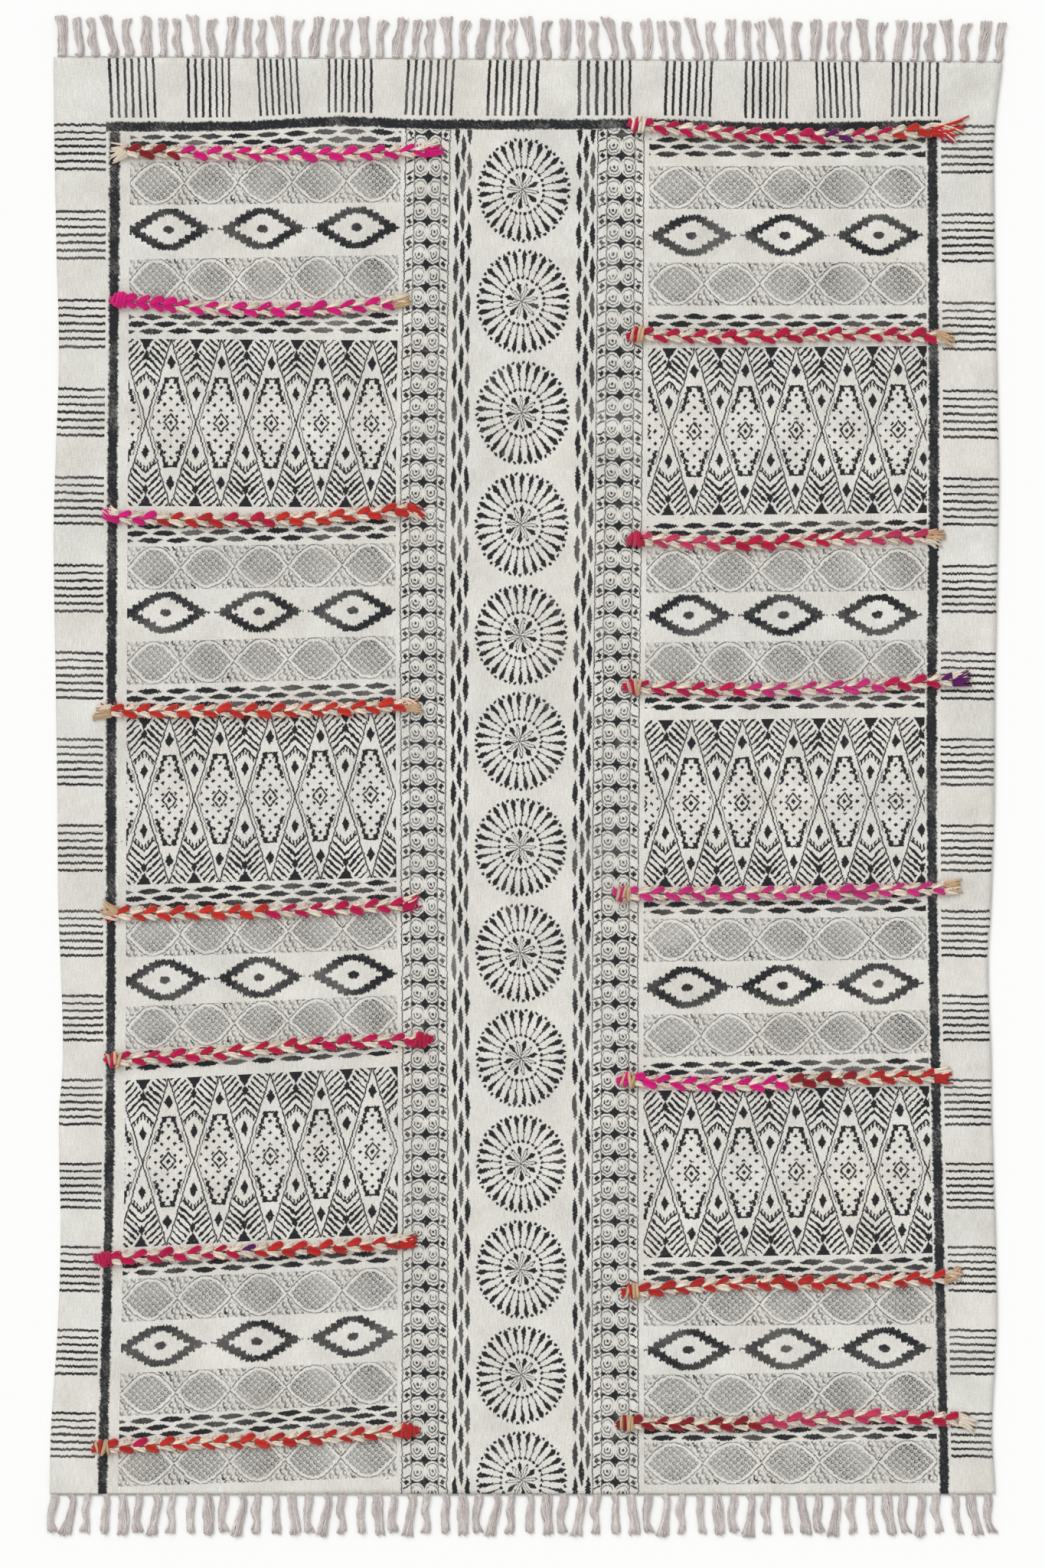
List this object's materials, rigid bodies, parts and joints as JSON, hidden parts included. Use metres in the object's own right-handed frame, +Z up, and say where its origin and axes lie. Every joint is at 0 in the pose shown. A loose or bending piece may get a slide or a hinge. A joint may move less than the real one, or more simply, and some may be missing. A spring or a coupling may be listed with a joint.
{
  "type": "dhurrie rug",
  "caption": "Flat woven cotton rug with a block-printed pattern, plaited wool braids across it and a tasselled fringe at both ends.",
  "frame": {"origin": "centre of the bounding box's bottom face, on the floor under the middle of the rug", "axes": "+Y along the rug's length towards the end with the full border, +X across its width, +Z up from the floor"},
  "size_m": [1.226, 1.9426, 0.0142],
  "materials": {
    "cloth": "matt unbleached cotton, flat woven with a fine rib, block-printed in blue-black",
    "fringe": "matt plied cotton yarn, pinkish grey",
    "wool_pink": "matt plaited hot pink wool with cream cotton strands",
    "wool_magenta": "matt plaited magenta wool with cream cotton strands",
    "wool_orange": "matt plaited orange wool with cream cotton strands",
    "wool_crimson": "matt plaited crimson wool with cream cotton strands",
    "wool_red": "matt plaited red wool with cream cotton strands"
  },
  "bodies": {
    "root": {"rug_cloth": "cloth", "fringe_top": "fringe", "fringe_bottom": "fringe", "braid_left_1": "wool_pink", "braid_left_2": "wool_pink", "braid_left_3": "wool_magenta", "braid_left_4": "wool_orange", "braid_left_5": "wool_crimson", "braid_left_6": "wool_crimson", "braid_left_7": "wool_magenta", "braid_left_8": "wool_red", "braid_right_1": "wool_crimson", "braid_right_2": "wool_crimson", "braid_right_3": "wool_magenta", "braid_right_4": "wool_magenta", "braid_right_5": "wool_magenta", "braid_right_6": "wool_pink", "braid_right_7": "wool_red", "braid_right_8": "wool_red"}
  },
  "joints": []
}
